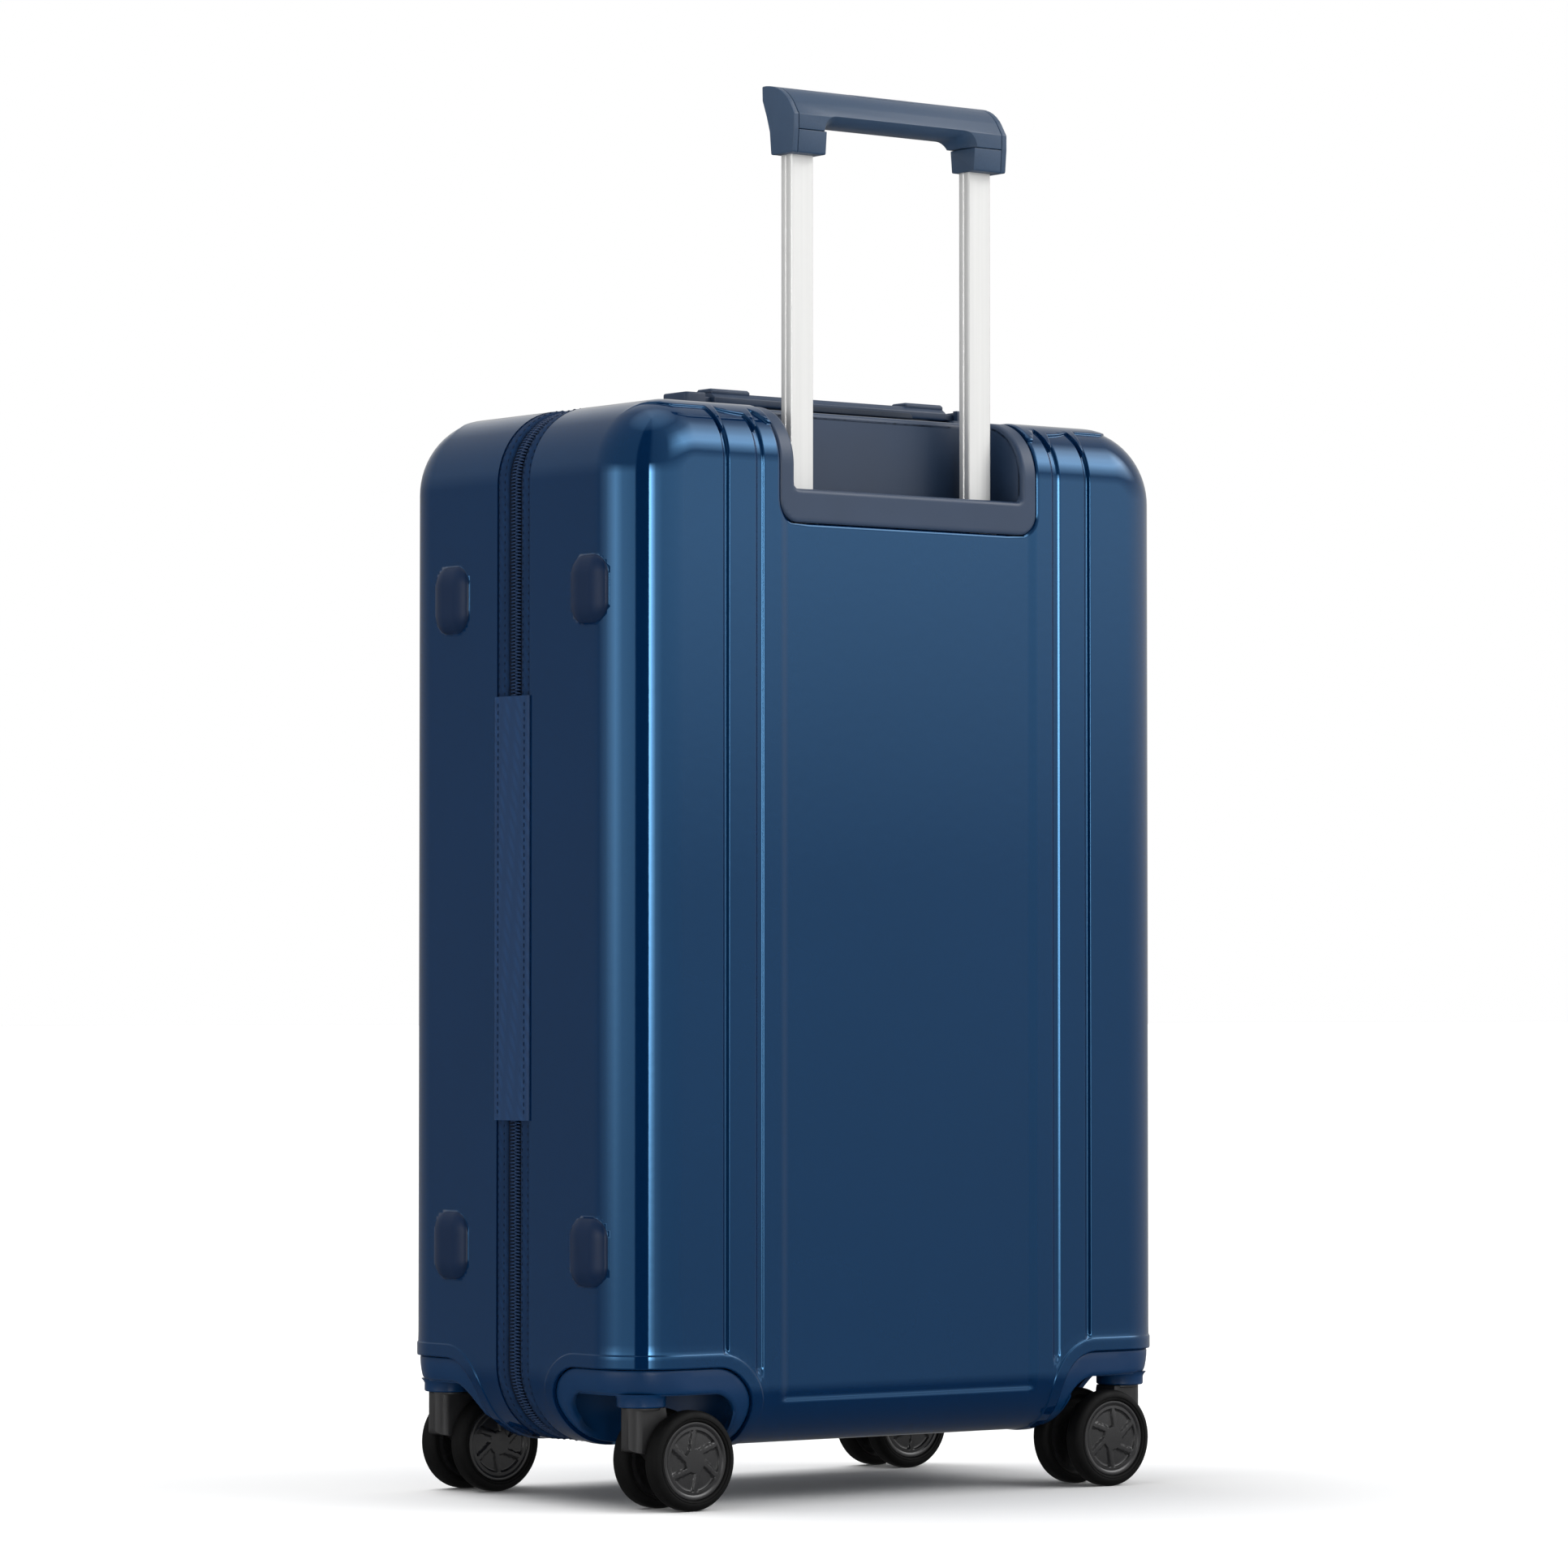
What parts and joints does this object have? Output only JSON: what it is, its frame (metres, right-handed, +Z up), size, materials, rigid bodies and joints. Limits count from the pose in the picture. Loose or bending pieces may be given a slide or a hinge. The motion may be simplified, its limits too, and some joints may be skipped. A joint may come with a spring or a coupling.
{
  "type": "hard shell suitcase on wheels",
  "caption": "Upright hard shell suitcase with a zipped side opening, telescopic trolley handle, recessed handle housing, carry handles and twin-wheel swivel casters.",
  "frame": {"origin": "on the floor under the middle of the whole object's box, with the wheels standing on z = 0", "axes": "+Z up along the trolley tubes, +Y out of the rear face that holds the trolley handle, +X out of the side that holds the hinge strip"},
  "size_m": [0.4408, 0.247, 0.8614],
  "materials": {
    "shell": "high gloss navy blue polycarbonate",
    "zip_tape": "woven tape with coil teeth",
    "lining": "woven polyester lining",
    "hinge_strip": "coated fabric with stitched edges",
    "satin_trim": "satin slate blue, fine spark texture",
    "grip": "satin blue",
    "outer_tube": "anodised",
    "tube": "bright satin anodised",
    "steel": "plain",
    "bracket": "moulded, satin",
    "webbing": "woven webbing",
    "zip_metal": "dark blue enamel",
    "lock_case": "satin dark blue",
    "lock_dial": "satin",
    "wheel_housing": "satin blue",
    "fork": "satin black",
    "hub": "semi-gloss black",
    "tyre": "matt black"
  },
  "bodies": {
    "rear_case": {"rear_shell": "shell", "rear_zip_tape": "zip_tape", "rear_lining": "lining", "rear_hinge_leaf": "hinge_strip", "handle_housing": "satin_trim", "outer_tubes": "outer_tube", "tube_foot": "bracket", "top_handle_mounts": "satin_trim", "side_handle_mounts": "satin_trim", "packing_straps": "webbing", "strap_buckle": "bracket", "wheel_housing_rear_hinge": "wheel_housing", "wheel_housing_rear_lock": "wheel_housing"},
    "front_case": {"front_shell": "shell", "front_zip_tape": "zip_tape", "front_lining": "lining", "front_hinge_leaf": "hinge_strip", "lock_body": "lock_case", "wheel_housing_front_hinge": "wheel_housing", "wheel_housing_front_lock": "wheel_housing"},
    "handle_middle": {"middle_tubes": "outer_tube"},
    "handle_inner": {"inner_tubes": "tube", "grip_body": "grip", "grip_collars": "grip"},
    "grip_button": {"grip_button": "grip", "release_rods": "steel"},
    "top_handle": {"top_handle": "satin_trim"},
    "side_handle": {"side_handle": "satin_trim"},
    "slider_upper": {"slider_upper": "zip_metal"},
    "slider_lower": {"slider_lower": "zip_metal"},
    "pull_upper": {"pull_upper": "zip_metal"},
    "pull_lower": {"pull_lower": "zip_metal"},
    "lock_button": {"lock_button": "lock_case"},
    "lock_dial_1": {"lock_dial_1": "lock_dial"},
    "lock_dial_2": {"lock_dial_2": "lock_dial"},
    "lock_dial_3": {"lock_dial_3": "lock_dial"},
    "caster_rear_hinge": {"fork_rear_hinge": "fork", "axle_rear_hinge": "steel"},
    "wheel_outer_rear_hinge": {"hub_outer_rear_hinge": "hub", "tyre_outer_rear_hinge": "tyre"},
    "wheel_inner_rear_hinge": {"hub_inner_rear_hinge": "hub", "tyre_inner_rear_hinge": "tyre"},
    "caster_rear_lock": {"fork_rear_lock": "fork", "axle_rear_lock": "steel"},
    "wheel_outer_rear_lock": {"hub_outer_rear_lock": "hub", "tyre_outer_rear_lock": "tyre"},
    "wheel_inner_rear_lock": {"hub_inner_rear_lock": "hub", "tyre_inner_rear_lock": "tyre"},
    "caster_front_hinge": {"fork_front_hinge": "fork", "axle_front_hinge": "steel"},
    "wheel_outer_front_hinge": {"hub_outer_front_hinge": "hub", "tyre_outer_front_hinge": "tyre"},
    "wheel_inner_front_hinge": {"hub_inner_front_hinge": "hub", "tyre_inner_front_hinge": "tyre"},
    "caster_front_lock": {"fork_front_lock": "fork", "axle_front_lock": "steel"},
    "wheel_outer_front_lock": {"hub_outer_front_lock": "hub", "tyre_outer_front_lock": "tyre"},
    "wheel_inner_front_lock": {"hub_inner_front_lock": "hub", "tyre_inner_front_lock": "tyre"}
  },
  "joints": [
    {"name": "case_open", "type": "hinge", "parent": "rear_case", "child": "front_case", "pos_m": [0.2175, 0.0025, 0.3505], "axis": [0, 0, -1], "range_deg": [-180, 0]},
    {"name": "handle_second_stage", "type": "slide", "parent": "rear_case", "child": "handle_middle", "axis": [0, 0, 1], "range_m": [0, 0.19]},
    {"name": "handle_first_stage", "type": "slide", "parent": "handle_middle", "child": "handle_inner", "axis": [0, 0, 1], "range_m": [-0.2, 0]},
    {"name": "button_press", "type": "slide", "parent": "handle_inner", "child": "grip_button", "axis": [0, 0, -1], "range_m": [0, 0.004], "stiffness_N_per_m": 500, "springref_m": -0.004},
    {"name": "top_handle_lift", "type": "slide", "parent": "rear_case", "child": "top_handle", "axis": [0, 0, 1], "range_m": [0, 0.016], "stiffness_N_per_m": 300, "springref_m": -0.002},
    {"name": "side_handle_lift", "type": "slide", "parent": "rear_case", "child": "side_handle", "axis": [-1, 0, 0], "range_m": [0, 0.016], "stiffness_N_per_m": 300, "springref_m": -0.002},
    {"name": "slider_upper_run", "type": "slide", "parent": "rear_case", "child": "slider_upper", "axis": [0, 0, 1], "range_m": [0, 0.19]},
    {"name": "slider_lower_run", "type": "slide", "parent": "rear_case", "child": "slider_lower", "axis": [0, 0, -1], "range_m": [0, 0.19]},
    {"name": "lock_button_press", "type": "slide", "parent": "front_case", "child": "lock_button", "axis": [0, 0, -1], "range_m": [0, 0.004], "stiffness_N_per_m": 200, "springref_m": -0.002},
    {"name": "pull_upper_swing", "type": "hinge", "parent": "slider_upper", "child": "pull_upper", "pos_m": [-0.2149, 0.0025, 0.405], "axis": [0, 1, 0], "range_deg": [0, 170]},
    {"name": "pull_lower_swing", "type": "hinge", "parent": "slider_lower", "child": "pull_lower", "pos_m": [-0.2149, 0.0025, 0.33], "axis": [0, 1, 0], "range_deg": [0, 170]},
    {"name": "dial_1_turn", "type": "hinge", "parent": "front_case", "child": "lock_dial_1", "pos_m": [-0.2098, -0.038, 0.351], "axis": [0, 0, 1], "continuous": true},
    {"name": "dial_2_turn", "type": "hinge", "parent": "front_case", "child": "lock_dial_2", "pos_m": [-0.2098, -0.038, 0.361], "axis": [0, 0, 1], "continuous": true},
    {"name": "dial_3_turn", "type": "hinge", "parent": "front_case", "child": "lock_dial_3", "pos_m": [-0.2098, -0.038, 0.371], "axis": [0, 0, 1], "continuous": true},
    {"name": "swivel_rear_hinge", "type": "hinge", "parent": "rear_case", "child": "caster_rear_hinge", "pos_m": [0.188, 0.1, 0.07], "axis": [0, 0, 1], "continuous": true},
    {"name": "spin_outer_rear_hinge", "type": "hinge", "parent": "caster_rear_hinge", "child": "wheel_outer_rear_hinge", "pos_m": [0.164, 0.1, 0.03], "axis": [0, 1, 0], "continuous": true},
    {"name": "spin_inner_rear_hinge", "type": "hinge", "parent": "caster_rear_hinge", "child": "wheel_inner_rear_hinge", "pos_m": [0.164, 0.1, 0.03], "axis": [0, 1, 0], "continuous": true},
    {"name": "swivel_rear_lock", "type": "hinge", "parent": "rear_case", "child": "caster_rear_lock", "pos_m": [-0.188, 0.1, 0.07], "axis": [0, 0, 1], "continuous": true},
    {"name": "spin_outer_rear_lock", "type": "hinge", "parent": "caster_rear_lock", "child": "wheel_outer_rear_lock", "pos_m": [-0.164, 0.1, 0.03], "axis": [0, 1, 0], "continuous": true},
    {"name": "spin_inner_rear_lock", "type": "hinge", "parent": "caster_rear_lock", "child": "wheel_inner_rear_lock", "pos_m": [-0.164, 0.1, 0.03], "axis": [0, 1, 0], "continuous": true},
    {"name": "swivel_front_hinge", "type": "hinge", "parent": "front_case", "child": "caster_front_hinge", "pos_m": [0.188, -0.1, 0.07], "axis": [0, 0, 1], "continuous": true},
    {"name": "spin_outer_front_hinge", "type": "hinge", "parent": "caster_front_hinge", "child": "wheel_outer_front_hinge", "pos_m": [0.164, -0.1, 0.03], "axis": [0, 1, 0], "continuous": true},
    {"name": "spin_inner_front_hinge", "type": "hinge", "parent": "caster_front_hinge", "child": "wheel_inner_front_hinge", "pos_m": [0.164, -0.1, 0.03], "axis": [0, 1, 0], "continuous": true},
    {"name": "swivel_front_lock", "type": "hinge", "parent": "front_case", "child": "caster_front_lock", "pos_m": [-0.188, -0.1, 0.07], "axis": [0, 0, 1], "continuous": true},
    {"name": "spin_outer_front_lock", "type": "hinge", "parent": "caster_front_lock", "child": "wheel_outer_front_lock", "pos_m": [-0.164, -0.1, 0.03], "axis": [0, 1, 0], "continuous": true},
    {"name": "spin_inner_front_lock", "type": "hinge", "parent": "caster_front_lock", "child": "wheel_inner_front_lock", "pos_m": [-0.164, -0.1, 0.03], "axis": [0, 1, 0], "continuous": true}
  ]
}
